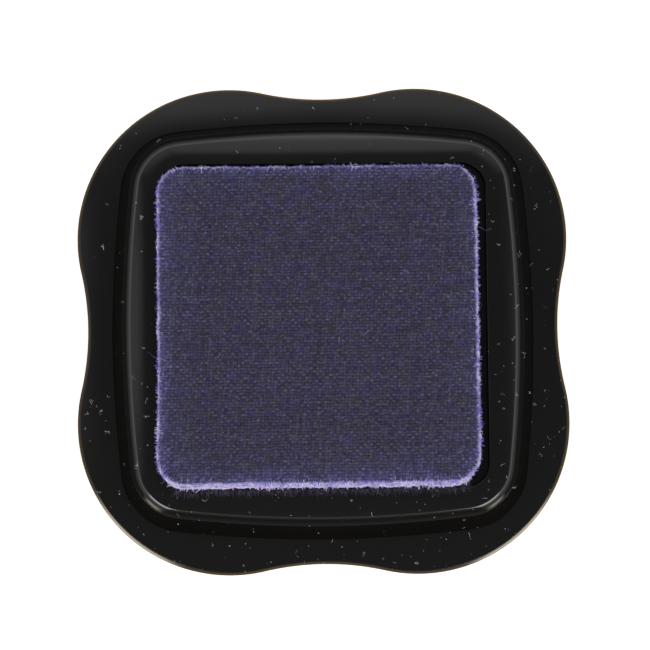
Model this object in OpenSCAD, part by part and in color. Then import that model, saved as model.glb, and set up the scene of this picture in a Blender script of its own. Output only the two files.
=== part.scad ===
// Small raised ink pad: a four-lobed moulded base with a hollow underside and a raised rim,
// and a woven inking face bonded to a felt block that stands proud of the rim.
// The origin is at the middle of the surface that the base stands on, with +Z up.

/* [Flange] */
// Width of the base from lobe to lobe
base_w = 50; // [48:0.5:60]
// Radius of each of the four lobes
lobe_r = 15.5; // [14:0.25:17]
// Depth of the shallow waist between two lobes
waist_in = 1.07; // [0.7:0.01:1.5]
// Height of the flange's top above the surface that the base stands on
flange_h = 7; // [5.5:0.25:12]
// Rounding of the flange's upper edge
flange_edge_r = 0.5; // [0.2:0.05:1]
// Lean of the skirt, inwards on the way down from the flange's edge, in degrees
skirt_draft = 6; // [1:0.5:8]
// Thickness of the moulding's floor, and of its skirt at the bottom
wall = 1.5; // [1:0.1:2]

/* [Rim] */
// Width of the raised rim at its foot, across the middle of its sides
rim_w = 42.8; // [41:0.1:44]
// Radius of the rim's gently bowed sides, at the foot
rim_bow_r = 128; // [100:1:200]
// Radius of the rim's corners, at the foot
rim_corner_r = 6.5; // [5:0.25:8]
// Height of the rim above the flange
rim_h = 3; // [2:0.1:5]
// Lean of the rim's outer wall from upright, in degrees
rim_draft = 25; // [10:1:28]
// Rounding between the rim's wall and its top
shoulder_r = 1.1; // [0.5:0.05:1.2]

/* [Pad] */
// Width of the woven inking face
pad_w = 32.8; // [30:0.1:34]
// Radius of the inking face's corners
pad_corner_r = 2.3; // [1.5:0.1:4]
// Height of the inking face above the rim
pad_proud = 2.3; // [1.5:0.1:4]
// Thickness of the cloth
cloth_t = 0.4; // [0.2:0.05:0.8]
// How far the cloth reaches past the felt on each side
cloth_reach = 0.3; // [0.1:0.05:0.5]
// Thickness of the adhesive sheet
adhesive_t = 0.15; // [0.1:0.05:0.3]
// How far the adhesive sheet stops short of the felt's edge
adhesive_inset = 1; // [0.5:0.1:3]

/* [Well] */
// Room between the felt and each wall of the well, with the felt in the middle
well_clearance = 0.55; // [0.3:0.05:1]
// Gap left between the felt and the left wall of the well
left_gap = 0.07; // [0.05:0.01:0.3]
// Gap left between the felt and the front wall of the well
front_gap = 0.45; // [0.05:0.01:0.6]

/* [Hidden] */
$fn = 96;
// How far a cutting solid runs past the face that it opens
over = 1;
// How far neighbouring arcs cross, so that they meet along a clean edge
arc_cross = 0.01;

lobe_at = base_w / 2 - lobe_r;
waist_y = base_w / 2 - waist_in;
// The waist's arc runs into both lobes without a corner, which sets its radius
waist_r = (pow(lobe_at, 2) + pow(waist_y - lobe_at, 2) - pow(lobe_r, 2)) / (2 * waist_in);
waist_at = waist_y + waist_r;
waist_angle = atan(lobe_at / (waist_at - lobe_at));
waist_half = lobe_at - lobe_r * sin(waist_angle);
// How far in the skirt's bottom edge is from the flange's outline
skirt_in = (flange_h - flange_edge_r) * tan(skirt_draft);

bow_at = rim_bow_r - rim_w / 2;
// Sides of the polygons that draw the rim's bowed sides and round corners
bow_fn = 320;
rim_corner_fn = 48;
// Thickness of the slices that the rim is blended from
slice_t = 0.02;
// How far the rim's foot is sunk into the floor
rim_root = wall / 2;
shoulder_steps = 6;
shoulder_turn = 90 - rim_draft;
shoulder_in = rim_h * tan(rim_draft) + shoulder_r * tan(shoulder_turn / 2);
// Height above the flange and distance in from the foot, up the rim's wall and over its shoulder
rim_layers = [
    [slice_t - rim_root, 0],
    [0, 0],
    for (step = [0 : shoulder_steps])
        let (angle = rim_draft + shoulder_turn * step / shoulder_steps)
            [rim_h - shoulder_r * (1 - sin(angle)), shoulder_in - shoulder_r * cos(angle)]
];

deck_z = flange_h + rim_h;
well_z = flange_h;
felt_z = well_z + adhesive_t;
pad_top = deck_z + pad_proud;
cloth_z = pad_top - cloth_t;

felt_w = pad_w - 2 * cloth_reach;
felt_corner_r = pad_corner_r - cloth_reach;
well_w = felt_w + 2 * well_clearance;
well_corner_r = felt_corner_r + well_clearance;
pad_at = [left_gap - well_clearance, front_gap - well_clearance];

// Point at a distance and an angle from the origin
function polar(r, angle) = r * [cos(angle), sin(angle)];

module rounded_plate(w, r, h) {
    linear_extrude(h) {
        square([w, w - 2 * r], center = true);
        square([w - 2 * r, w], center = true);
        for (x = [-1, 1], y = [-1, 1])
            translate([x, y] * (w / 2 - r)) circle(r);
    }
}

// Slice of a disc between two angles less than 120 degrees apart
module disc_slice(r, from, to) {
    intersection() {
        circle(r);
        polygon([[0, 0], polar(2 * r, from), polar(2 * r, to)]);
    }
}

// Half section of a lobe that leans in by lean at the bottom, with its upper edge rounded unless r is 0
module lobe_section(reach, h, r, lean) {
    polygon([[0, 0], [reach - lean, 0], [reach, h - r], [reach - r, h], [0, h]]);
    if (r > 0)
        translate([reach - r, h - r]) disc_slice(r, 0, 90);
}

// The solid that a waist takes out, wider by lean at the bottom and flared at the top to round the edge
module waist_cutter(reach, h, r, lean) {
    cylinder(h = h - r, r1 = reach + lean, r2 = reach);
    translate([0, 0, h - r]) cylinder(h = r + over, r = reach);
    translate([0, 0, -over]) cylinder(h = over, r = reach + lean);
    if (r > 0)
        rotate_extrude() difference() {
            translate([reach - over, h - r]) square([over + r, r + over]);
            translate([reach + r, h - r]) circle(r);
        }
}

// The lobed form, drawn in from the flange's outline by inset, and further in by lean at the bottom
module lobed_block(inset, h, r = 0, lean = 0) {
    for (x = [-1, 1], y = [-1, 1])
        translate([x * lobe_at, y * lobe_at, 0])
            rotate_extrude() lobe_section(lobe_r - inset, h, r, lean);
    difference() {
        translate([0, 0, h / 2]) {
            cube([2 * waist_half, base_w, h], center = true);
            cube([base_w, 2 * waist_half, h], center = true);
        }
        for (turn = [0 : 90 : 270])
            rotate(turn)
                translate([0, waist_at, 0])
                    waist_cutter(waist_r + inset + arc_cross, h, r, lean);
    }
}

// Outline of the rim, drawn in from its foot by inset
module rim_outline(inset) {
    offset(r = rim_corner_r - inset)
        intersection_for (turn = [0 : 90 : 270])
            rotate(turn) translate([0, -bow_at]) circle(rim_bow_r - rim_corner_r, $fn = bow_fn);
}

// The raised form before the well is cut: a leaning wall, a rounded shoulder and a flat top
module rim_block() {
    hull()
        for (layer = rim_layers)
            translate([0, 0, layer[0] - slice_t])
                linear_extrude(slice_t) rim_outline(layer[1], $fn = rim_corner_fn);
}

module base_shell() {
    color("#141416") difference() {
        union() {
            lobed_block(0, flange_h, flange_edge_r, skirt_in);
            translate([0, 0, flange_h]) rim_block();
        }
        translate([0, 0, -over]) lobed_block(skirt_in + wall, flange_h - wall + over);
        translate([0, 0, well_z]) rounded_plate(well_w, well_corner_r, rim_h + over);
    }
}

module adhesive_sheet() {
    color("#d9d4c4")
        translate([pad_at.x, pad_at.y, well_z])
            rounded_plate(felt_w - 2 * adhesive_inset, felt_corner_r, adhesive_t);
}

module felt_block() {
    color("#b9b3cf")
        translate([pad_at.x, pad_at.y, felt_z])
            rounded_plate(felt_w, felt_corner_r, cloth_z - felt_z);
}

module ink_cloth() {
    color("#1b1c2e")
        translate([pad_at.x, pad_at.y, cloth_z])
            rounded_plate(pad_w, pad_corner_r, cloth_t);
}

base_shell();
adhesive_sheet();
felt_block();
ink_cloth();
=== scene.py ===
import math
import random

import bmesh
import bpy
from mathutils import Matrix, Vector, noise
from mathutils.bvhtree import BVHTree


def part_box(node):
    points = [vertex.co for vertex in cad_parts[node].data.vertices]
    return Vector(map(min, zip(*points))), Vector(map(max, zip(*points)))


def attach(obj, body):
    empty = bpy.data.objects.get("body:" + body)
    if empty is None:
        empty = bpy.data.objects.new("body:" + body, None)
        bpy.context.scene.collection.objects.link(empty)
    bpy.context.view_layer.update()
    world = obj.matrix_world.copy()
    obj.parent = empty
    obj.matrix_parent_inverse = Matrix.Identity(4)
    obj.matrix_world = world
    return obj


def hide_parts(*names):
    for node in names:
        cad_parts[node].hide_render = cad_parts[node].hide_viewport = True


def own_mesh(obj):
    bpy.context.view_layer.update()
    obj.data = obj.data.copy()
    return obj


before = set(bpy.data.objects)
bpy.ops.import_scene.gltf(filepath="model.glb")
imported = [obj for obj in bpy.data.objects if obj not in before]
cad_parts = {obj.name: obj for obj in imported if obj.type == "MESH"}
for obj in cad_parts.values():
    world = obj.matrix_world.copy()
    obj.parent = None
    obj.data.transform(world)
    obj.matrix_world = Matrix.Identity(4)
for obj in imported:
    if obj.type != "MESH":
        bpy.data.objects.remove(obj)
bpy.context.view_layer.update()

# Shapes are worked out in millimetres, and each mesh is scaled to metres when it is made
MM = 0.001


def node_box(node):
    """Lowest and highest corner of a node of the part, in millimetres."""
    low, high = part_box(node)
    return low / MM, high / MM


BASE_LOW, BASE_HIGH = node_box("base_shell")
FELT_LOW, FELT_HIGH = node_box("felt_block")
CLOTH_LOW, CLOTH_HIGH = node_box("ink_cloth")

# Flange and skirt
BASE_W = BASE_HIGH.x - BASE_LOW.x
LOBE_R = 15.5
WAIST_IN = 1.07
FLANGE_H = 7
# The flange bends down towards its edge: slope at the edge in degrees, and fall for each square millimetre
FLANGE_SLOPE = 2.0
FLANGE_BEND = 0.005
# The flange's edge turns over a narrow chamfer: tilt at the end, radius and steps of each arc
FLANGE_EDGE = ((43.5, 0.12, 4), (44.5, 16, 1), (90, 0.08, 4))
SKIRT_DRAFT = 6
SKIRT_IN = FLANGE_H * math.tan(math.radians(SKIRT_DRAFT))
WALL = 1.5
CEILING_Z = FLANGE_H - WALL
CEILING_R = 0.8
BOTTOM_EDGE_R = 0.3
LOBE_AT = BASE_W / 2 - LOBE_R
WAIST_Y = BASE_W / 2 - WAIST_IN
WAIST_R = (LOBE_AT ** 2 + (WAIST_Y - LOBE_AT) ** 2 - LOBE_R ** 2) / (2 * WAIST_IN)
WAIST_AT = WAIST_Y + WAIST_R

# Rim, from its foot over its shoulder to the crowned deck
DECK_Z = BASE_HIGH.z
RIM_W = 42.8
RIM_BOW_R = 128
RIM_CORNER_R = 6.5
# Lean of the rim's wall from upright, below its shoulder, in degrees
WALL_LEAN = 23
# The shoulder turns in one round, eases, and tightens into the wall: tilt, radius and steps of each arc
SHOULDER = ((36, 1.1, 10), (40, 5.4, 5), (90 - WALL_LEAN, 0.02, 4))
# The deck bends down to the shoulder: slope there, flat part by the well, fall for each square millimetre
DECK_SLOPE = 4.5
DECK_FLAT = 0.77
DECK_BEND = 0.021
BOW_AT = RIM_BOW_R - RIM_W / 2
RIM_CORNER_AT = (math.sqrt(2 * (RIM_BOW_R - RIM_CORNER_R) ** 2 - BOW_AT ** 2) - BOW_AT) / 2

# Well
WELL_CLEARANCE = 0.55
WELL_Z = FLANGE_H
WELL_EDGE_R = 0.012
FELT_W = FELT_HIGH.x - FELT_LOW.x
FELT_CORNER_R = 2
WELL_HALF = FELT_W / 2 + WELL_CLEARANCE
WELL_CORNER_R = FELT_CORNER_R + WELL_CLEARANCE

# Felt and cloth
# The soft pad settled a little to the left and the front of its block
PAD_AT = (CLOTH_LOW + CLOTH_HIGH) / 2 - Vector((0.05, 0.1, 0))
PAD_HALF = (CLOTH_HIGH.x - CLOTH_LOW.x) / 2
CLOTH_TOP = CLOTH_HIGH.z
CLOTH_Z = CLOTH_LOW.z
# The pad was laid in its well a little askew
PAD_TURN = Matrix.Rotation(math.radians(0.2), 2)
# The cut edge lies inside the outline that its frayed fibres reach
FRAY = 0.22
CLOTH_HALF = PAD_HALF - FRAY
# Corners of the cloth and of the felt above the deck, which is softer than its block
CLOTH_CORNER_R = 2.7
# The felt's foot spreads to the walls of the well, this far below the deck, where the felt's colour is
# painted near black as shade in the gap
FOOT_DEPTH = 0.5
# Loose fibres lie at least this high, just above the deck
LOOSE_Z = DECK_Z + 0.02

# Plain weave: level threads, and threads that lean to the right as they go back
WEFT_PITCH = 0.31
WARP_PITCH = 0.344
WARP_LEAN = math.tan(math.radians(3.9))
# How far the threads close up against each other, where 1 leaves no groove between them
WARP_CLOSED = 0.5
WEFT_CLOSED = 0.3
# Middle height of a thread and its swing over and under the others, as shares of the weave's depth
WEAVE_REST = 0.55
WEAVE_SWING = 0.45
WEAVE_DEPTH = 0.07
# Points of the cloth's mesh to a thread, each way
WEAVE_STEPS = 3

# Directions that every ring of the base and the felt has a point in
RING_POINTS = 720
ANGLES = [2 * math.pi * step / RING_POINTS for step in range(RING_POINTS)]


# Outlines: each is a function that gives the distance from the middle at an angle

def fold(angle):
    """The same place in the eighth of a turn that starts at the middle of a side."""
    return abs((angle + math.pi / 4) % (math.pi / 2) - math.pi / 4)


def circle_hit(centre, radius, angle, far=True):
    """Distance from the origin to a circle, along a ray at an angle."""
    along = Vector((math.cos(angle), math.sin(angle))).dot(centre)
    half_chord = math.sqrt(along ** 2 - centre.length_squared + radius ** 2)
    return along + half_chord if far else along - half_chord


def lobed(inset):
    """The flange's outline, drawn in by inset."""
    lobe = Vector((LOBE_AT, LOBE_AT))
    waist = Vector((WAIST_AT, 0))
    meet = lobe + (waist - lobe).normalized() * (LOBE_R - inset)
    meet_angle = math.atan2(meet.y, meet.x)

    def reach(angle):
        turn = fold(angle)
        if turn < meet_angle:
            return circle_hit(waist, WAIST_R + inset, turn, far=False)
        return circle_hit(lobe, LOBE_R - inset, turn)
    return reach


def rim(inset):
    """The rim's outline, drawn in by inset from its foot."""
    bow = Vector((-BOW_AT, 0))
    corner = Vector((RIM_CORNER_AT, RIM_CORNER_AT))
    meet = bow + (corner - bow).normalized() * (RIM_BOW_R - inset)
    meet_angle = math.atan2(meet.y, meet.x)

    def reach(angle):
        turn = fold(angle)
        if turn < meet_angle:
            return circle_hit(bow, RIM_BOW_R - inset, turn)
        return circle_hit(corner, RIM_CORNER_R - inset, turn)
    return reach


def rounded_square(half, corner_r):
    """A square with rounded corners."""
    corner = Vector((half - corner_r, half - corner_r))
    corner_angle = math.atan2(half - corner_r, half)

    def reach(angle):
        turn = fold(angle)
        if turn < corner_angle:
            return half / math.cos(turn)
        return circle_hit(corner, corner_r, turn)
    return reach


def well(spread):
    """The well's outline, spread outwards by a distance."""
    return rounded_square(WELL_HALF + spread, WELL_CORNER_R + spread)


def steady(z):
    """A height that is the same at every angle."""
    return lambda angle: z


def between(first, second, share):
    """An outline or a height that lies a share of the way from one to another."""
    return lambda angle: first(angle) + share * (second(angle) - first(angle))


def across(outline):
    """Share of a step away from the middle that goes straight across the outline, at each angle."""
    turn = 0.001

    def share(angle):
        slant = (outline(angle + turn) - outline(angle - turn)) / (2 * turn * outline(angle))
        return 1 / math.hypot(1, slant)
    return share


def bent_down(inner, outer, flat, bend):
    """Fall of a surface that bends down on its way out, after a flat part, as a function of the way gone."""
    straight = across(inner)

    def fall(share):
        def at(angle):
            way = share * (outer(angle) - inner(angle)) * straight(angle)
            return bend * max(way - flat, 0) ** 2
        return at
    return fall


def ring(outline, height):
    """Points of an outline at a height, where both are functions of the angle."""
    return [Vector((outline(a) * math.cos(a), outline(a) * math.sin(a), height(a))) for a in ANGLES]


def turns(start, end, steps):
    """Angles in radians between two angles in degrees, in equal steps."""
    return [math.radians(start + (end - start) * step / steps) for step in range(steps + 1)]


def rounding(radius, steps):
    """What is left of a radius and what is gone of it, in steps through a quarter turn."""
    return [(radius * (1 - math.sin(a)), radius * (1 - math.cos(a))) for a in turns(0, 90, steps)]


def shares(steps):
    """Equal steps from just above 0 to 1."""
    return [(step + 1) / steps for step in range(steps)]


def turned_edge(tilt, arcs):
    """Steps outwards and down along a profile that sets off at a tilt and turns through arcs."""
    out = down = 0
    steps_taken = [(out, down)]
    for end, radius, steps in arcs:
        centre_out = out - radius * math.sin(math.radians(tilt))
        centre_down = down + radius * math.cos(math.radians(tilt))
        steps_taken += [
            (centre_out + radius * math.sin(a), centre_down - radius * math.cos(a))
            for a in turns(tilt, end, steps)[1:]
        ]
        out, down = steps_taken[-1]
        tilt = end
    return steps_taken


def unit(value):
    """The nearest value from 0 to 1."""
    return min(max(value, 0), 1)


def smooth(low, high, value):
    """Rises smoothly from 0 at low to 1 at high."""
    share = unit((value - low) / (high - low))
    return share * share * (3 - 2 * share)


def plane_noise(place, seed, scale):
    """Smooth noise at a place in the plane, with another pattern for each seed."""
    return noise.noise(Vector((*place, seed)) * scale)


# Meshes

def new_piece(name, points, faces, material):
    """A smooth mesh object made from points in millimetres."""
    mesh = bpy.data.meshes.new(name)
    mesh.from_pydata([point * MM for point in points], [], faces)
    form = bmesh.new()
    form.from_mesh(mesh)
    bmesh.ops.recalc_face_normals(form, faces=form.faces)
    form.to_mesh(mesh)
    form.free()
    mesh.shade_smooth()
    mesh.materials.append(material)
    piece = bpy.data.objects.new(name, mesh)
    bpy.context.scene.collection.objects.link(piece)
    return piece


def loft(rings):
    """Points and faces of a closed skin through rings of equal count, with a fan at each end."""
    count = len(rings[0])
    points = [point for one_ring in rings for point in one_ring]
    faces = []
    for level in range(len(rings) - 1):
        for step in range(count):
            after = (step + 1) % count
            low, high = level * count, (level + 1) * count
            faces.append((low + step, low + after, high + after, high + step))
    for level in (0, len(rings) - 1):
        middle = len(points)
        points.append(sum(rings[level], Vector((0, 0, 0))) / count)
        faces += [
            (middle, level * count + step, level * count + (step + 1) % count)
            for step in range(count)
        ]
    return points, faces


def set_attribute(piece, name, values):
    """Stores one number for each point of a mesh, for its material to read."""
    piece.data.attributes.new(name, "FLOAT", "POINT").data.foreach_set("value", values)


class Strands:
    """Gathers thin fibres and specks into one mesh, each with its own tint."""
    # Sides of a fibre's tube, and how much thinner its tip is than its root
    SIDES = 4
    TAPER = 0.6

    def __init__(self):
        self.points = []
        self.faces = []
        self.tints = []

    def add_fibre(self, path, radius, tint):
        """A tapered tube along a path."""
        first = len(self.points)
        last = len(path) - 1
        for index, point in enumerate(path):
            ahead = path[min(index + 1, last)] - path[max(index - 1, 0)]
            first_way = ahead.orthogonal().normalized()
            second_way = ahead.cross(first_way).normalized()
            reach = radius * (1 - self.TAPER * index / last)
            for side in range(self.SIDES):
                turn = 2 * math.pi * side / self.SIDES
                self.points.append(point + reach * (first_way * math.cos(turn) + second_way * math.sin(turn)))
        for index in range(last):
            low = first + index * self.SIDES
            for side in range(self.SIDES):
                after = (side + 1) % self.SIDES
                self.faces.append(
                    (low + side, low + after, low + self.SIDES + after, low + self.SIDES + side)
                )
        end = first + last * self.SIDES
        self.faces.append(tuple(range(first, first + self.SIDES)))
        self.faces.append(tuple(range(end, end + self.SIDES)))
        self.tints += [tint] * ((last + 1) * self.SIDES)

    def add_speck(self, middle, size, tint, rng):
        """A small, uneven grain."""
        first = len(self.points)
        for axis in range(3):
            for sign in (-1, 1):
                offset = Vector((0, 0, 0))
                offset[axis] = sign * size * rng.uniform(0.6, 1.2) * (0.5 if axis == 2 else 1)
                self.points.append(middle + offset)
        for x in (0, 1):
            for y in (2, 3):
                for z in (4, 5):
                    self.faces.append((first + x, first + y, first + z))
        self.tints += [tint] * 6

    def piece(self, name, material):
        """The mesh object that holds all that was added."""
        made = new_piece(name, self.points, self.faces, material)
        set_attribute(made, "tint", self.tints)
        return made


# Shader graphs

def shade(code):
    """Linear colour from a web colour code."""
    parts = [int(code[start:start + 2], 16) / 255 for start in (1, 3, 5)]
    linear = [part / 12.92 if part <= 0.04045 else ((part + 0.055) / 1.055) ** 2.4 for part in parts]
    return (*linear, 1)


class Graph:
    """Fills a node tree by calls that give back the new node's output."""

    def __init__(self, tree):
        self.tree = tree
        tree.nodes.clear()

    def node(self, kind, inputs, **settings):
        made = self.tree.nodes.new("ShaderNode" + kind)
        for name, value in settings.items():
            setattr(made, name, value)
        for key, value in inputs.items():
            if isinstance(value, bpy.types.NodeSocket):
                self.tree.links.new(value, made.inputs[key])
            else:
                made.inputs[key].default_value = value
        return made

    def math(self, operation, *values):
        return self.node("Math", dict(enumerate(values)), operation=operation).outputs[0]

    def vector_math(self, operation, *values):
        return self.node("VectorMath", dict(enumerate(values)), operation=operation).outputs[0]

    def spread(self, value, low, high, start=0.0, end=1.0):
        """Goes smoothly from start to end as the value goes from low to high."""
        inputs = {"Value": value, "From Min": low, "From Max": high, "To Min": start, "To Max": end}
        return self.node("MapRange", inputs, interpolation_type="SMOOTHSTEP").outputs["Result"]

    def noise(self, where, scale, detail=2.0, roughness=0.5):
        inputs = {"Vector": where, "Scale": scale, "Detail": detail, "Roughness": roughness}
        return self.node("TexNoise", inputs).outputs[0]

    def random(self, where):
        return self.node("TexWhiteNoise", {"Vector": where}).outputs["Value"]

    def mix(self, share, first, second, kind="MIX"):
        inputs = {0: share, 6: first, 7: second}
        return self.node("Mix", inputs, data_type="RGBA", blend_type=kind).outputs[2]

    def ramp(self, value, stops):
        made = self.node("ValToRGB", {0: value})
        points = made.color_ramp.elements
        while len(points) < len(stops):
            points.new(1)
        for point, (place, colour) in zip(points, stops):
            point.position = place
            point.color = colour
        return made.outputs[0]

    def split(self, vector):
        return self.node("SeparateXYZ", {0: vector}).outputs

    def combine(self, x, y, z=0.0):
        return self.node("CombineXYZ", {0: x, 1: y, 2: z}).outputs[0]

    def grey(self, level):
        """Colour with the same level in each channel."""
        return self.combine(level, level, level)

    def place(self):
        """The surface point in the part's frame, in millimetres."""
        where = self.node("TexCoord", {}).outputs["Object"]
        return self.vector_math("MULTIPLY", where, (1 / MM, 1 / MM, 1 / MM))

    def attribute(self, name):
        return self.node("Attribute", {}, attribute_name=name).outputs["Fac"]

    def bump(self, height, strength, distance):
        inputs = {"Height": height, "Strength": strength, "Distance": distance * MM}
        return self.node("Bump", inputs).outputs[0]

    def surface(self, inputs):
        """Ends the tree in the standard surface shader."""
        shader = self.node("BsdfPrincipled", inputs).outputs[0]
        self.node("OutputMaterial", {"Surface": shader})


def new_material(name):
    """A material and the graph that fills it."""
    material = bpy.data.materials.new(name)
    material.use_nodes = True
    return material, Graph(material.node_tree)


def black_plastic():
    """Glossy black moulding with a satin wall, faint ripples, fine scuffs and a film of dust."""
    material, g = new_material("black_plastic")
    where = g.place()
    ripple = g.noise(where, 0.12, 1.0)
    grain = g.noise(where, 9.0, 3.0)
    stretched = g.vector_math("MULTIPLY", where, (0.5, 14.0, 1.0))
    scuff = g.spread(g.noise(stretched, 1.0, 2.0), 0.68, 0.8)
    dust = g.spread(g.noise(where, 6.5, 1.0), 0.74, 0.82)
    colour = g.mix(dust, shade("#0d0d0d"), shade("#191818"))
    roughness = g.math("MULTIPLY_ADD", scuff, 0.05, g.spread(grain, 0.3, 0.7, 0.07, 0.11))
    level = g.split(where)[2]
    # The flange bends down from the wall's foot, so this takes in only a narrow margin of it
    above_flange = g.spread(level, FLANGE_H - 0.0002, FLANGE_H - 0.00005)
    below_shoulder = g.spread(level, DECK_Z - 0.6, DECK_Z - 0.56, 1.0, 0.0)
    satin = g.math("MULTIPLY", above_flange, below_shoulder)
    roughness = g.math("MULTIPLY_ADD", satin, 0.2, roughness)
    height = g.math("MULTIPLY_ADD", grain, 0.01, ripple)
    g.surface({
        "Base Color": colour,
        "Roughness": roughness,
        "IOR": 1.5,
        "Specular IOR Level": g.math("MULTIPLY_ADD", satin, -0.47, 0.5),
        "Normal": g.bump(height, 0.35, 0.06),
    })
    return material


def inked_weave():
    """Plain weave steeped in dark ink, violet towards the edges, pale where it was cut, and with painted
    shade in its grooves.
    """
    material, g = new_material("inked_weave")
    where = g.place()
    threads = g.node("UVMap", {}, uv_map="threads").outputs[0]
    cell, arch = [], []
    for axis, closed in enumerate((WARP_CLOSED, WEFT_CLOSED)):
        wobble = g.noise(g.vector_math("ADD", where, (40 * axis, 0, 0)), 1.6, 2.0)
        along = g.math("ADD", g.split(threads)[axis], g.spread(wobble, 0.3, 0.7, -0.12, 0.12))
        cell.append(g.math("FLOOR", along))
        turn = g.math("MULTIPLY", g.math("SUBTRACT", g.math("FRACT", along), 0.5), math.pi)
        arch.append(g.math("MULTIPLY_ADD", g.math("COSINE", turn), 1 - closed, closed))
    odd = g.math("FLOORED_MODULO", g.math("ADD", cell[0], cell[1]), 2.0)
    sign = g.math("SUBTRACT", 1.0, g.math("MULTIPLY", odd, 2.0))
    swing = g.math("MULTIPLY", sign, WEAVE_SWING)
    warp = g.math("MULTIPLY", arch[0], g.math("MULTIPLY_ADD", swing, arch[1], WEAVE_REST))
    weft_lift = g.math("SUBTRACT", WEAVE_REST, g.math("MULTIPLY", swing, arch[0]))
    weft = g.math("MULTIPLY", arch[1], weft_lift)
    height = g.math("MAXIMUM", warp, weft)
    on_top = g.math("GREATER_THAN", warp, weft)

    def thread_shade(axis, seed, stretch):
        """Shade that changes from thread to thread and slowly along each one."""
        slub = g.noise(g.vector_math("MULTIPLY", where, stretch), 1.0, 2.0)
        return g.math("ADD", g.random(g.combine(cell[axis], seed)), g.spread(slub, 0.3, 0.7))

    shades = [thread_shade(0, 3.0, (3.0, 0.8, 1.0)), thread_shade(1, 7.0, (0.8, 3.0, 1.0))]
    tone = g.math("MULTIPLY_ADD", on_top, g.math("SUBTRACT", shades[0], shades[1]), shades[1])
    spark = g.random(g.combine(*cell))
    fuzz = g.noise(where, 4.0, 1.0, 0.6)

    patch = g.noise(where, 0.8, 3.0, 0.6)
    dye = g.random(g.combine(*cell, 5.0))
    hue = g.math("ADD", patch, g.spread(dye, 0.0, 1.0, -0.07, 0.07))
    ink = g.ramp(hue, [
        (0.30, shade("#3a3a48")),
        (0.45, shade("#3a384b")),
        (0.58, shade("#393651")),
        (0.70, shade("#373455")),
    ])
    stain = g.attribute("stain")
    ink = g.mix(stain, ink, shade("#61609a"))
    # Painted shade: darker in the grooves and holes between threads. Also darker on the leaning threads, and
    # uneven by thread, crossing and fuzz
    level = g.spread(height, 0.25, 0.8, 0.29, 1.0)
    for factor in (
        g.spread(tone, 0.2, 1.8, 0.82, 1.15),
        g.math("MULTIPLY_ADD", on_top, -0.24, 1.1),
        g.spread(spark, 0.0, 1.0, 0.78, 1.22),
        g.spread(fuzz, 0.25, 0.75, 0.6, 1.4),
    ):
        level = g.math("MULTIPLY", level, factor)
    # The ink's colour takes in the painted groove shade and the thread tones
    ink = g.mix(1.0, ink, g.grey(level), "MULTIPLY")
    pale = g.attribute("pale")
    bare = g.ramp(g.noise(where, 2.0, 2.0), [(0.38, shade("#7d75d6")), (0.56, shade("#cbc5ee"))])
    colour = g.mix(pale, ink, bare)
    g.surface({
        "Base Color": colour,
        "Roughness": 0.85,
        "Specular IOR Level": 0.2,
        "Sheen Weight": 0.08,
        "Sheen Roughness": 0.5,
        "Normal": g.bump(height, 0.5, 0.05),
    })
    return material


def pale_felt():
    """Pressed pale fibres, stained violet in patches, with painted shade under the cloth's edge and near
    black painted shade below the deck.
    """
    material, g = new_material("pale_felt")
    where = g.place()
    clump = g.noise(where, 2.2, 4.0, 0.7)
    fibre = g.noise(g.vector_math("MULTIPLY", where, (1.0, 1.0, 2.5)), 5.0, 3.0, 0.7)
    colour = g.ramp(clump, [
        (0.33, shade("#655cc6")),
        (0.43, shade("#aea8ee")),
        (0.57, shade("#d8d6ff")),
    ])
    height = g.split(where)[2]
    # Painted shade: a darker violet band near the felt's top, where the cloth's edge overhangs it
    ragged = g.math("ADD", height, g.spread(g.noise(where, 3.0, 2.0), 0.3, 0.7, -0.25, 0.2))
    shaded = g.spread(ragged, FELT_HIGH.z - 0.45, FELT_HIGH.z - 0.2)
    colour = g.mix(shaded, colour, shade("#8f80bd"))
    # Painted shade: near black below the deck, standing in for the shade down in the gap round the felt
    painted_well_shade = g.spread(height, DECK_Z - 0.35, DECK_Z + 0.1, 1.0, 0.0)
    colour = g.mix(painted_well_shade, colour, shade("#17161b"))
    dim = g.spread(fibre, 0.3, 0.7, 0.6, 1.0)
    colour = g.mix(1.0, colour, g.grey(dim), "MULTIPLY")
    g.surface({
        "Base Color": colour,
        "Roughness": 0.95,
        "Specular IOR Level": 0.1,
        "Sheen Weight": g.spread(height, DECK_Z, DECK_Z + 0.3, 0.0, 0.3),
        "Normal": g.bump(fibre, 0.6, 0.08),
    })
    return material


def tinted_fibre(name, dark, light):
    """Fine fibres whose own tint runs from dark to light."""
    material, g = new_material(name)
    tint = g.attribute("tint")
    streak = g.noise(g.place(), 8.0, 1.0)
    share = g.math("ADD", tint, g.spread(streak, 0.3, 0.7, -0.12, 0.12))
    g.surface({
        "Base Color": g.ramp(share, [(0.0, shade(dark)), (1.0, shade(light))]),
        "Roughness": 0.8,
        "Specular IOR Level": 0.2,
    })
    return material


def adhesive_film():
    """Cream double-sided film with a faint mottle."""
    material, g = new_material("adhesive_film")
    mottle = g.noise(g.place(), 0.9, 3.0)
    g.surface({
        "Base Color": g.ramp(mottle, [(0.35, shade("#cfc9b6")), (0.65, shade("#e2dccb"))]),
        "Roughness": g.spread(mottle, 0.3, 0.7, 0.35, 0.55),
        "IOR": 1.47,
    })
    return material


# Base

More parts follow.
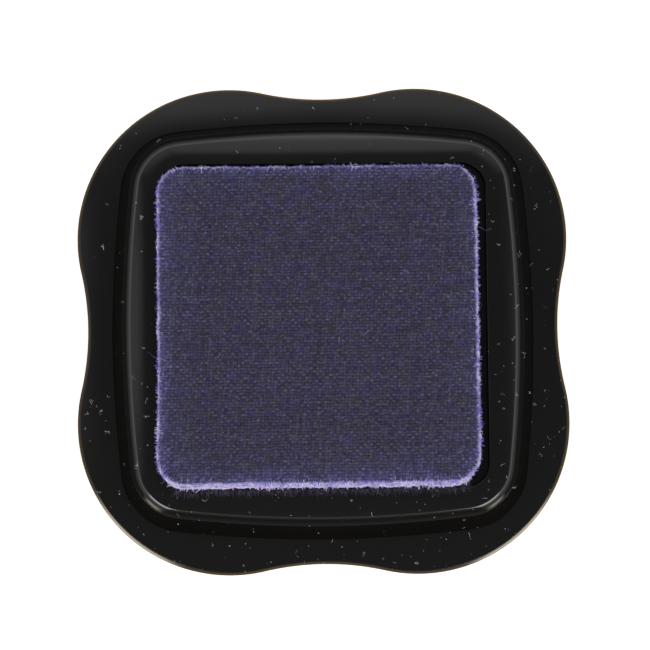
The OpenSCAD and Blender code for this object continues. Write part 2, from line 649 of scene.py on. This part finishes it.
def base_layers():
    """Outline and height of each ring of the base, from under its ceiling to the well's floor."""
    hollow = SKIRT_IN + WALL
    layers = [(lobed(hollow + left), steady(CEILING_Z - gone)) for left, gone in rounding(CEILING_R, 6)]
    layers += [(lobed(hollow - gone), steady(left)) for left, gone in rounding(BOTTOM_EDGE_R, 4)]
    layers += [(lobed(SKIRT_IN + left), steady(gone)) for left, gone in rounding(BOTTOM_EDGE_R, 4)]

    def below(top, fall, down=0):
        """Height that lies a fall, and a further step down, under a level top."""
        return lambda angle: top - fall(angle) - down

    edge_steps = turned_edge(FLANGE_SLOPE, FLANGE_EDGE)
    edge_in = edge_steps[-1][0]
    edge, foot = lobed(edge_in), rim(0)
    flange_fall = bent_down(foot, edge, 0, FLANGE_BEND)
    layers += [
        (lobed(edge_in - out), below(FLANGE_H, flange_fall(1), down)) for out, down in reversed(edge_steps)
    ]
    layers += [
        (between(edge, foot, share), below(FLANGE_H, flange_fall(1 - share))) for share in shares(10)
    ]

    shoulder_steps = turned_edge(DECK_SLOPE, SHOULDER)
    wall_out, wall_down = shoulder_steps[-1]
    deck_in = wall_out + (DECK_Z - wall_down - FLANGE_H) * math.tan(math.radians(WALL_LEAN))
    deck_edge = rim(deck_in)
    well_edge = well(WELL_EDGE_R)
    deck_fall = bent_down(well_edge, deck_edge, DECK_FLAT, DECK_BEND)
    layers += [
        (rim(deck_in - out), below(DECK_Z, deck_fall(1), down)) for out, down in reversed(shoulder_steps)
    ]
    layers += [
        (between(deck_edge, well_edge, share), below(DECK_Z, deck_fall(1 - share))) for share in shares(16)
    ]
    layers += [(well(left), steady(DECK_Z - gone)) for left, gone in rounding(WELL_EDGE_R, 4)[1:]]
    layers.append((well(0), steady(WELL_Z)))
    return layers


def with_holding_rings(layers):
    """The layers with a ring close to each end of every long run, so that flat runs are shaded flat."""
    hold, long_run = 0.012, 0.2
    held = layers[:1]
    for (outline, z), (next_outline, next_z) in zip(layers, layers[1:]):
        run = math.hypot(next_outline(0) - outline(0), next_z(0) - z(0))
        if run > long_run:
            for share in (hold / run, 1 - hold / run):
                held.append((between(outline, next_outline, share), between(z, next_z, share)))
        held.append((next_outline, next_z))
    return held


def make_base():
    """Base moulding. Gives back its surface, for lint to lie on."""
    points, faces = loft([ring(outline, z) for outline, z in with_holding_rings(base_layers())])
    piece = new_piece("base_moulding", points, faces, black_plastic())
    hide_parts("base_shell")
    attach(piece, "base")
    return BVHTree.FromPolygons(points, faces)


# Lint

def make_lint(ground):
    """Pale curls, grains and small tangles that lie on the flange, the rim and the deck."""
    rng = random.Random(41)
    lint = Strands()
    reach = BASE_W / 2
    grains, curls, tangles = 165, 108, 44
    curl_steps = 6

    def drop(x, y, lift):
        """The point on the base under a place, raised a little, or nothing beside the base."""
        hit = ground.ray_cast(Vector((x, y, 2 * DECK_Z)), Vector((0, 0, -1)))[0]
        if hit is None or hit.z < FLANGE_H - 0.25:
            return None
        return hit + Vector((0, 0, lift))

    def under_pad(x, y):
        return max(abs(x - PAD_AT.x), abs(y - PAD_AT.y)) < PAD_HALF + 0.25

    def scatter():
        """A place beside the pad, less often towards the left and the back."""
        while True:
            x, y = rng.uniform(-reach, reach), rng.uniform(-reach, reach)
            kept = rng.random() < 0.65 + 0.35 * (x - y) / reach
            if kept and not under_pad(x, y) and drop(x, y, 0) is not None:
                return x, y

    def add_grain(x, y, size, tint):
        middle = drop(x, y, size / 3)
        if middle is not None and not under_pad(x, y):
            lint.add_speck(middle, size, tint, rng)

    def add_curl(x, y, length, radius, tint):
        heading = rng.uniform(0, 2 * math.pi)
        bend = rng.gauss(0, 0.6)
        path = []
        for index in range(curl_steps + 1):
            if under_pad(x, y) or drop(x, y, radius) is None:
                break
            path.append(drop(x, y, radius + rng.uniform(0, 0.02)))
            heading += bend + rng.gauss(0, 0.15)
            x += length / curl_steps * math.cos(heading)
            y += length / curl_steps * math.sin(heading)
        if len(path) > 2:
            lint.add_fibre(path, radius, tint)

    for count in range(grains):
        add_grain(*scatter(), rng.choice((0.03, 0.04, 0.05, 0.06, 0.08)), rng.betavariate(1.5, 1.7))
    for count in range(curls):
        length = min(0.18 + rng.expovariate(1 / 0.15), 0.9)
        add_curl(*scatter(), length, rng.uniform(0.02, 0.035), rng.betavariate(1.5, 1.7))
    for count in range(tangles):
        x, y = scatter()
        tint = rng.betavariate(1.8, 1.5)
        for part in range(rng.randint(2, 4)):
            near_x, near_y = x + rng.gauss(0, 0.09), y + rng.gauss(0, 0.09)
            add_grain(near_x, near_y, rng.uniform(0.03, 0.06), tint)
            add_curl(near_x, near_y, rng.uniform(0.15, 0.35), rng.uniform(0.018, 0.03), tint)
    piece = lint.piece("surface_lint", tinted_fibre("lint", "#343437", "#c9c8cf"))
    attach(piece, "base")


# Felt

def on_pad(place):
    """A place given from the pad's middle, in the part's frame."""
    return PAD_TURN @ place + PAD_AT.xy


def square_edge(share, half, corner_r):
    """Point and outward direction at a share of the way round a rounded square about the pad's middle."""
    quarter, along = divmod(share * 4, 1)
    side = 2 * (half - corner_r)
    along *= side + math.pi / 2 * corner_r
    if along < side:
        point, outward = Vector((half, along - side / 2)), Vector((1, 0))
    else:
        turn = (along - side) / corner_r
        outward = Vector((math.cos(turn), math.sin(turn)))
        point = Vector((half - corner_r, half - corner_r)) + outward * corner_r
    rotation = Matrix.Rotation(quarter * math.pi / 2, 2)
    return on_pad(rotation @ point), PAD_TURN @ rotation @ outward


def stray(spot):
    """How far the pad's cut edge strays outwards near a place in the part's frame."""
    dented = PAD_AT.xy + CLOTH_HALF * Vector((0.97, -0.97))
    swollen = PAD_AT.xy + CLOTH_HALF * Vector((-1, -0.8))
    dent = 0.2 * math.exp(-(spot - dented).length_squared / 1.6)
    swell = 0.2 * math.exp(-(spot - swollen).length_squared / 12)
    wave = 0.09 * plane_noise(spot, 9, 0.55)
    notch = 0.06 * plane_noise(spot, 4, 1.7)
    return wave + notch + swell - dent


def facing_front(outward):
    """1 on the pad's front side and 0 on the others, by the way out."""
    return smooth(0.5, 0.9, -outward.y)


def felt_bulge(z, outward):
    """How far the felt swells past its block above the deck, most at the front and less under the cloth."""
    share = (z - DECK_Z) / (FELT_HIGH.z - DECK_Z)
    most = 0.04 + 0.2 * facing_front(outward)
    return most * smooth(0, 0.35, share) - (most + 0.08) * smooth(0.72, 1, share)


def make_felt():
    """Felt block: its foot fills the well, and its rough sides stand above the deck."""
    foot_gap, foot_taper = 0.06, 0.15
    foot = rounded_square(WELL_HALF - foot_gap, WELL_CORNER_R)
    rings = [ring(foot, steady(z)) for z in (FELT_LOW.z, DECK_Z - FOOT_DEPTH)]
    body = rounded_square(FELT_W / 2, CLOTH_CORNER_R)
    steps = 18
    heights = [DECK_Z - FOOT_DEPTH + foot_taper]
    heights += [DECK_Z + (FELT_HIGH.z - DECK_Z) * step / steps for step in range(steps + 1)]
    for z in heights:
        rough = smooth(DECK_Z - 0.2, DECK_Z + 0.3, z)
        one_ring = []
        for point in ring(body, steady(z)):
            outward = edge_gap(point.x, point.y)[1]
            clump = noise.noise(point * 1.1) * 0.07 + noise.noise(point * 3.4) * 0.11
            spot = on_pad(point.xy)
            out = felt_bulge(z, outward) + rough * (clump + stray(spot))
            one_ring.append(Vector((*(spot + PAD_TURN @ outward * out), z)))
        rings.append(one_ring)
    points, faces = loft(rings)
    piece = new_piece("felt_pad", points, faces, pale_felt())
    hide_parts("felt_block")
    press_with_pad(piece)
    return piece


def press_with_pad(piece):
    """A soft piece attached to the base, with a mesh of its own."""
    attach(piece, "base")
    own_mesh(piece)


def jitter(size, rng):
    """A random step in space."""
    return Vector([rng.gauss(0, size) for axis in range(3)])


def hold_between(path, low, high):
    """Moves the points of a path that lie too low or too high to the nearest height allowed."""
    for spot in path:
        spot.z = min(max(spot.z, low), high)


def curl(start, heading, length, points, wander, rng, low=-math.inf, high=math.inf):
    """A path that sets off in a heading and wanders, held between two heights."""
    path = [start]
    heading = heading.normalized()
    step = length / (points - 1)
    for index in range(points - 1):
        heading = (heading + jitter(wander, rng)).normalized()
        path.append(path[-1] + heading * step)
    hold_between(path, low, high)
    return path


def add_tuft(strands, root, tip, width, radius, tint, rng):
    """Fibres that set off side by side and close up towards a tip."""
    for count in range(rng.randint(5, 9)):
        start, end = root + jitter(width, rng), tip + jitter(0.4 * width, rng)
        bow = jitter(0.5 * width, rng)
        path = [start.lerp(end, share) + bow * math.sin(math.pi * share) for share in (0, 0.33, 0.67, 1)]
        hold_between(path, -math.inf, CLOTH_TOP)
        strands.add_fibre(path, radius * rng.uniform(0.7, 1.2), unit(tint + rng.gauss(0, 0.12)))


def ways(outward):
    """The way out from an edge and the way along it, in space."""
    return Vector((*outward, 0)), Vector((-outward.y, outward.x, 0))


def felt_side(share, z):
    """Point a share of the way round the felt's side, the way out from it, and the way along it."""
    root_depth = 0.06
    place, outward = square_edge(share, FELT_W / 2, CLOTH_CORNER_R)
    place = place + outward * (felt_bulge(z, outward) + stray(place) - root_depth)
    return Vector((*place, z)), *ways(outward)


def make_felt_fuzz(rng):
    """Tufts and loose fibres that stand out from the felt's sides, and dark fibres down in the gap."""
    fuzz = Strands()
    tufts, loose_fibres, gap_fibres = 620, 2600, 500

    def patch_tint(spot, out):
        """Paleness of a fibre, which changes from patch to patch and is greatest at the front."""
        paleness = 0.3 + 0.5 * facing_front(out)
        return unit(paleness + 0.6 * noise.noise(spot * 0.9) + rng.gauss(0, 0.15))

    def in_well(spot):
        return max(abs(spot.x), abs(spot.y)) < WELL_HALF - 0.05

    for count in range(tufts):
        z = rng.uniform(DECK_Z + 0.3, FELT_HIGH.z - 0.3)
        root, out, along = felt_side(rng.random(), z)
        reach = (rng.uniform(0.12, 0.2) + rng.expovariate(1 / 0.07)) * (0.6 + 0.4 * facing_front(out))
        tip = root + reach * (out + along * rng.gauss(0, 0.5)) + Vector((0, 0, rng.gauss(-0.1, 0.15)))
        tip.z = min(max(tip.z, DECK_Z + 0.05), CLOTH_Z)
        add_tuft(fuzz, root, tip, 0.05, 0.016, patch_tint(root, out), rng)
    for count in range(loose_fibres):
        z = rng.uniform(DECK_Z + 0.1, FELT_HIGH.z)
        root, out, along = felt_side(rng.random(), z)
        heading = out * rng.uniform(0.3, 1) + along * rng.gauss(0, 0.7)
        heading.z = rng.gauss(0, 0.5)
        length = min(0.12 + rng.expovariate(1 / 0.1), 0.7)
        path = curl(root, heading, length, 5, 0.35, rng, LOOSE_Z, CLOTH_Z)
        fuzz.add_fibre(path, rng.uniform(0.007, 0.014), patch_tint(root, out) * rng.uniform(0.4, 1))
    for count in range(gap_fibres):
        z = rng.uniform(DECK_Z - 0.3, DECK_Z + 0.3)
        root, out, along = felt_side(rng.random(), z)
        heading = out + along * rng.gauss(0, 0.8) + Vector((0, 0, rng.gauss(0, 0.3)))
        path = curl(root, heading, rng.uniform(0.2, 0.6), 5, 0.35, rng)
        if all(in_well(spot) or spot.z > DECK_Z + 0.03 for spot in path):
            fuzz.add_fibre(path, rng.uniform(0.006, 0.012), rng.uniform(0, 0.2))
    piece = fuzz.piece("felt_fuzz", tinted_fibre("fuzz", "#625bbb", "#e2deff"))
    press_with_pad(piece)


def make_shed_fibres(rng):
    """Fine fibres shed on the deck in front of the felt, and a few longer curls on all sides."""
    shed = Strands()
    fine_fibres, long_curls = 1100, 18
    front_side = (0.74, 1)
    for count in range(fine_fibres):
        root, out, along = felt_side(rng.uniform(*front_side), rng.uniform(DECK_Z + 0.03, DECK_Z + 0.4))
        heading = out + along * rng.gauss(0, 0.45) + Vector((0, 0, rng.gauss(-0.2, 0.2)))
        start = root + rng.uniform(0.15, 0.6) * out
        path = curl(start, heading, rng.uniform(0.3, 0.9), 5, 0.25, rng, LOOSE_Z)
        if facing_front(out) > 0.9:
            shed.add_fibre(path, rng.uniform(0.006, 0.011), rng.betavariate(1, 2))
    for count in range(long_curls):
        root, out, along = felt_side(rng.random(), DECK_Z + 0.1)
        heading = out + along * rng.gauss(0, 0.8)
        path = curl(root + 0.25 * out, heading, rng.uniform(0.6, 1.7), 8, 0.45, rng, LOOSE_Z)
        shed.add_fibre(path, rng.uniform(0.014, 0.022), rng.uniform(0.6, 1))
    piece = shed.piece("shed_fibres", tinted_fibre("shed", "#322f40", "#8682a0"))
    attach(piece, "base")


# Cloth

def edge_gap(x, y):
    """How far a point of the cloth, from its middle, is inside the cut edge, and the way out."""
    core = CLOTH_HALF - CLOTH_CORNER_R
    past = Vector((max(abs(x) - core, 0), max(abs(y) - core, 0)))
    signs = Vector((math.copysign(1, x), math.copysign(1, y)))
    if past.x > 0 and past.y > 0:
        return CLOTH_CORNER_R - past.length, past.normalized() * signs
    if abs(x) > abs(y):
        return CLOTH_HALF - abs(x), Vector((signs.x, 0))
    return CLOTH_HALF - abs(y), Vector((0, signs.y))


def weave_height(u, v):
    """Height of the upper thread at a count of threads each way, from 0 in a hole to 1 on a crown."""
    warp, weft = [
        closed + (1 - closed) * math.cos((count % 1 - 0.5) * math.pi)
        for count, closed in ((u, WARP_CLOSED), (v, WEFT_CLOSED))
    ]
    swing = WEAVE_SWING if (math.floor(u) + math.floor(v)) % 2 == 0 else -WEAVE_SWING
    return max(warp * (WEAVE_REST + swing * weft), weft * (WEAVE_REST - swing * warp))


def edge_stain(place):
    """Violet that has crept in from the edges, most from the left and the front."""
    reach = 0.9 + 0.5 * plane_noise(place, 5, 0.35)
    from_sides = (
        0.9 * math.exp(-(PAD_HALF + place.x) / reach)
        + 0.5 * math.exp(-(PAD_HALF - place.x) / reach)
        + math.exp(-(PAD_HALF + place.y) / reach)
        + 0.6 * math.exp(-(PAD_HALF - place.y) / reach)
    )
    patch = 0.75 + 0.7 * plane_noise(place, 11, 1.3)
    return unit(from_sides * patch)


def cloth_lattice():
    """Places on the cloth by their step along each thread, those past the cut edge moved onto it."""
    step = WEFT_PITCH / WEAVE_STEPS
    level = math.ceil(CLOTH_HALF / step) + 2
    leaning = math.ceil(CLOTH_HALF * (1 + WARP_LEAN) / WARP_PITCH * WEAVE_STEPS) + 2
    places = {}
    for j in range(-level, level):
        for i in range(-leaning, leaning):
            u, v = (i + 0.5) / WEAVE_STEPS, (j + 0.5) / WEAVE_STEPS
            y = v * WEFT_PITCH
            x = u * WARP_PITCH + y * WARP_LEAN
            gap, outward = edge_gap(x, y)
            if gap > -2 * step:
                on_edge = gap < 0.5 * step
                move = gap * outward if on_edge else Vector((0, 0))
                places[i, j] = (Vector((x, y)) + move, (u, v), 0 if on_edge else gap, outward)
    return places


def border_of(faces):
    """Points along the open edge of a sheet of four-cornered faces, in order."""
    sides = {(face[k - 1], face[k]) for face in faces for k in range(4)}
    after = {first: second for first, second in sides if (second, first) not in sides}
    border = [min(after)]
    while after[border[-1]] != border[0]:
        border.append(after[border[-1]])
    return border


def make_cloth():
    """Woven face: raised threads, a ragged cut edge that rolls down, and a flat back."""
    rng = random.Random(19)
    places = cloth_lattice()
    cloth = []
    indices = {}
    outwards = {}
    roll_in, roll_fall = 0.35, 0.14

    def add(point, uv, stain, pale):
        """Number of a new mesh point, which is kept with what the material reads there."""
        cloth.append((point, uv, stain, pale))
        return len(cloth) - 1

    def index_of(key):
        """Number of the mesh point at a place of the lattice, which is made when first asked for."""
        if key in indices:
            return indices[key]
        place, (u, v), gap, outward = places[key]
        loose = smooth(0, 1.2, gap)
        wander = 0.05 * loose * noise.noise(Vector((place.x * 1.1, place.y * 0.3, 8)))
        shift = stray(on_pad(place)) * (1 - loose)
        if gap == 0:
            shift += rng.gauss(-0.01, 0.05)
        fall = roll_fall * max(1 - gap / roll_in, 0) ** 2
        billow = 0.015 * plane_noise(place, 3, 0.8)
        z = CLOTH_TOP - 0.015 - fall - WEAVE_DEPTH * (1 - weave_height(u, v)) + billow
        cut = 0.28 + 0.12 * plane_noise(place, 1, 0.9) + 0.17 * plane_noise(place, 4, 4)
        cut += 0.1 * max(outward.x, 0) - 0.12 * max(outward.y, 0)
        spot = on_pad(place + outward * shift)
        point = Vector((spot.x, spot.y + wander, z))
        pale = 1 - smooth(0, max(cut, 0.01), gap)
        indices[key] = add(point, (u, v), edge_stain(place), pale)
        outwards[indices[key]] = ways(PAD_TURN @ outward)[0]
        return indices[key]

    faces = []
    for i, j in places:
        corners = [(i, j), (i + 1, j), (i + 1, j + 1), (i, j + 1)]
        if all(key in places for key in corners) and any(places[key][2] > 0 for key in corners):
            faces.append(tuple(index_of(key) for key in corners))
    border = above = border_of(faces)
    for out, z in ((0.02, CLOTH_TOP - 0.25), (-0.06, CLOTH_Z)):
        below = []
        for index in border:
            point, uv, stain = cloth[index][:3]
            place = point + outwards[index] * (out + rng.gauss(0, 0.015))
            place.z = z
            below.append(add(place, uv, stain, 1.0))
        for step in range(len(border)):
            faces.append((above[step - 1], above[step], below[step], below[step - 1]))
        above = below
    middle = add(Vector((PAD_AT.x, PAD_AT.y, CLOTH_Z)), (0, 0), 0, 0)
    faces += [(middle, above[step - 1], above[step]) for step in range(len(above))]
    points, uvs, stains, pales = zip(*cloth)
    piece = new_piece("inked_face", points, faces, inked_weave())
    set_attribute(piece, "stain", stains)
    set_attribute(piece, "pale", pales)
    layer = piece.data.uv_layers.new(name="threads")
    layer.data.foreach_set("uv", [part for loop in piece.data.loops for part in uvs[loop.vertex_index]])
    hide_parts("ink_cloth")
    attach(piece, "pad_face")
    ends = make_thread_ends()


def make_thread_ends():
    """Cut ends of the cloth's threads, each split into a tuft of fibres, and loose fibres on the face."""
    rng = random.Random(23)
    ends = Strands()
    tuft_pitch = 0.65 * WEFT_PITCH
    tufts = round(4 * 2 * CLOTH_HALF / tuft_pitch)
    face_fibres = 140
    for number in range(tufts):
        share = (number + rng.uniform(0.2, 0.8)) / tufts
        point, outward = square_edge(share, CLOTH_HALF, CLOTH_CORNER_R)
        out, along = ways(outward)
        root = Vector((*point, rng.uniform(CLOTH_Z + 0.15, CLOTH_TOP - 0.08))) + out * (stray(point) - 0.12)
        front = facing_front(outward)
        frayed = max(0.3 + 1.4 * noise.noise(root * 0.8), 0)
        bare = 0.6 * noise.noise(root * 0.6 + Vector((0, 0, 6))) + rng.gauss(0, 0.15)
        reach = rng.uniform(0.16, 0.3) + 0.3 * frayed * rng.random()
        tip = root + reach * (out + along * rng.gauss(0, 0.5)) + Vector((0, 0, rng.gauss(-0.05, 0.1)))
        add_tuft(ends, root, tip, 0.045, 0.015, 0.22 + 0.35 * front + 0.8 * bare, rng)
        inward = root - out * min(0.04 + rng.expovariate(1 / 0.14), 0.6) + along * rng.gauss(0, 0.12)
        inward.z = CLOTH_TOP
        add_tuft(ends, root + out * 0.1, inward, 0.05, 0.013, 0.36 + 0.12 * front + bare, rng)
    for count in range(face_fibres):
        x, y = [rng.uniform(-0.97, 0.97) * CLOTH_HALF for axis in range(2)]
        heading = Vector((rng.gauss(0, 1), rng.gauss(0, 1), 0))
        start = Vector((x + PAD_AT.x, y + PAD_AT.y, CLOTH_TOP))
        path = curl(start, heading, rng.uniform(0.2, 0.8), 6, 0.3, rng, CLOTH_TOP, CLOTH_TOP)
        ends.add_fibre(path, rng.uniform(0.008, 0.014), rng.uniform(0.1, 0.6))
    piece = ends.piece("thread_ends", tinted_fibre("thread_ends", "#6a64bc", "#e4e1ff"))
    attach(piece, "pad_face")
    return piece


# Stage, light and camera

def make_floor():
    """White floor that keeps the contact shadow, with painted shade towards the front that only reflections
    show.
    """
    half, drop = 0.06, 0.00002
    mesh = bpy.data.meshes.new("floor")
    corners = [(x * half, y * half, -drop) for x, y in ((-1, -1), (1, -1), (1, 1), (-1, 1))]
    mesh.from_pydata(corners, [], [(0, 1, 2, 3)])
    material, g = new_material("floor_white")
    path = g.node("LightPath", {}).outputs
    away = g.split(g.place())[1]
    # Painted shade: the floor is darker towards the front, in reflections only
    mirrored = g.spread(away, -30.0, 20.0, -0.45, 0.0)
    white = g.math("MULTIPLY_ADD", path["Is Glossy Ray"], mirrored, 0.8)
    paint = g.node("BsdfDiffuse", {"Color": g.grey(white)}).outputs[0]
    strength = g.math("MULTIPLY", path["Is Camera Ray"], 0.62)
    glow = g.node("Emission", {"Color": (1, 0.99, 0.97, 1), "Strength": strength}).outputs[0]
    shader = g.node("AddShader", {0: paint, 1: glow}).outputs[0]
    g.node("OutputMaterial", {"Surface": shader})
    mesh.materials.append(material)
    floor = bpy.data.objects.new("floor", mesh)
    bpy.context.scene.collection.objects.link(floor)


def make_light_tent():
    """Soft canopy, dim overhead and in front, with warm lamps at the front corners and a low brown glow."""
    world = bpy.data.worlds.new("light_tent")
    bpy.context.scene.world = world
    world.use_nodes = True
    g = Graph(world.node_tree)
    x, y, z = g.split(g.node("TexCoord", {}).outputs["Generated"])
    zenith = g.math("DIVIDE", g.math("ARCCOSINE", z), math.pi / 2)
    peak = 1.8

    def light(colour, strength):
        """Surroundings of one colour and strength."""
        return g.node("Background", {"Color": colour, "Strength": strength}).outputs[0]

    def together(first, second):
        """The sum of two surroundings."""
        return g.node("AddShader", {0: first, 1: second}).outputs[0]

    def rings(*stops):
        """Brightness by the angle from straight up, in degrees."""
        return g.ramp(zenith, [(place / 90, (level / peak,) * 3 + (1,)) for place, level in stops])

    sides = rings(
        (10, 0.75), (18.5, 0.85), (20.5, 1.6), (32, 1.6), (38, 0.95),
        (48, 0.75), (62, 0.44), (70, 0.13), (90, 0.05),
    )
    front = rings(
        (3, 0.55), (18, 0.72), (28, 0.25), (40, 0.12),
        (58, 0.09), (68, 0.18), (76, 0.33), (90, 0.3),
    )
    level_reach = g.math("SQRT", g.math("ADD", g.math("MULTIPLY", x, x), g.math("MULTIPLY", y, y)))
    toward_front = g.math("DIVIDE", g.math("MULTIPLY", y, -1.0), g.math("MAXIMUM", level_reach, 0.01))
    canopy = g.mix(g.spread(toward_front, 0.78, 0.95), sides, front)

    ahead = g.math("MAXIMUM", z, 0.02)
    slope_x, slope_y = g.math("DIVIDE", x, ahead), g.math("DIVIDE", y, ahead)

    def outside(centre, half):
        """Goes from 0 in the middle of a soft patch overhead to 1 outside it, by slopes from straight up."""
        parts = []
        for slope, middle, reach in zip((slope_x, slope_y), centre, half):
            off = g.math("DIVIDE", g.math("SUBTRACT", slope, middle), reach)
            parts.append(g.math("POWER", g.math("ABSOLUTE", off), 4.0))
        return g.spread(g.math("SQRT", g.math("ADD", *parts)), 0.2, 1.8)

    opening = outside((0, 0.065), (0.26, 0.2))
    windows = g.math("MULTIPLY", outside((-0.22, 0.15), (0.11, 0.035)), outside((0.02, 0.29), (0.15, 0.07)))
    closed = g.math("MAXIMUM", opening, g.math("SUBTRACT", 1.0, windows))
    gloom = g.spread(slope_y, 0.08, 0.16, 0.17, 0.11)
    dim, bright = light((1, 0.98, 0.96, 1), gloom), light(canopy, peak)
    tent = g.node("MixShader", {0: closed, 1: dim, 2: bright}).outputs[0]

    def band(value, rise, fall):
        """1 between a soft rise and a soft fall of a value, and 0 beyond them."""
        return g.math("MULTIPLY", g.spread(value, *rise), g.spread(value, *fall, 1.0, 0.0))

    def lamp(down, forward, strength):
        """Light of a lamp at each front corner, by its soft edges from straight up and towards the front."""
        inside = g.math("MULTIPLY", band(zenith, *down), band(toward_front, *forward))
        return g.math("MULTIPLY", inside, strength)

    low = lamp(((0.89, 0.92), (1.02, 1.06)), ((0.3, 0.6), (0.84, 0.95)), 8.5)
    high = lamp(((0.67, 0.73), (0.79, 0.85)), ((0.5, 0.66), (0.76, 0.88)), 4.5)
    tent = together(tent, light((1, 0.89, 0.73, 1), g.math("ADD", low, high)))

    # The glow stands higher at the front, so that the leaning camera sees it in the flange's edge all round
    path = g.node("LightPath", {}).outputs
    horizon = g.math("MULTIPLY_ADD", toward_front, 0.08, zenith)
    glow = g.math("MULTIPLY", band(horizon, (0.965, 0.99), (1.1, 1.2)), 1.5)
    mirrored = g.math("MULTIPLY", glow, path["Is Glossy Ray"])
    tent = together(tent, light((1, 0.57, 0.18, 1), mirrored))
    white = light((1, 1, 1, 1), 1.0)
    shader = g.node("MixShader", {0: path["Is Camera Ray"], 1: tent, 2: white}).outputs[0]
    g.node("OutputWorld", {"Surface": shader})


def make_softbox(name, azimuth, zenith, size, radiance):
    """A square lamp that faces the pad from a direction, in degrees."""
    distance = 0.9
    lamp = bpy.data.lights.new(name, "AREA")
    lamp.size = size
    lamp.energy = 4 * size * size * radiance
    box = bpy.data.objects.new(name, lamp)
    around, down = math.radians(azimuth), math.radians(zenith)
    toward = Vector((math.sin(down) * math.cos(around), math.sin(down) * math.sin(around), math.cos(down)))
    box.location = distance * toward
    box.rotation_euler = toward.to_track_quat("Z", "Y").to_euler()
    bpy.context.scene.collection.objects.link(box)


def make_camera():
    """Nearly overhead, leaning towards the front, as in the photograph."""
    data = bpy.data.cameras.new("camera")
    data.lens = 241.9
    data.sensor_width = 36
    eye = Vector((-5.30, -63.70, 447.39)) * MM
    aim = Vector((0.21, 0.475, 7.0)) * MM
    level_up = Vector((0.00977, 0.99995, 0))
    back = (eye - aim).normalized()
    right = level_up.cross(back).normalized()
    camera = bpy.data.objects.new("camera", data)
    camera.matrix_world = Matrix((right, back.cross(right), back)).transposed().to_4x4()
    camera.location = eye
    bpy.context.scene.collection.objects.link(camera)
    bpy.context.scene.camera = camera


make_camera()
make_lint(make_base())
felt = make_felt()
fibre_rng = random.Random(7)
make_felt_fuzz(fibre_rng)
make_shed_fibres(fibre_rng)
make_cloth()
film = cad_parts["adhesive_sheet"].data.materials
film.clear()
film.append(adhesive_film())

make_floor()
make_light_tent()
make_softbox("front_left", 225, 20, 0.22, 5.5)
make_softbox("front_right", 315, 20, 0.22, 5.5)
bpy.context.scene.view_settings.view_transform = "Standard"
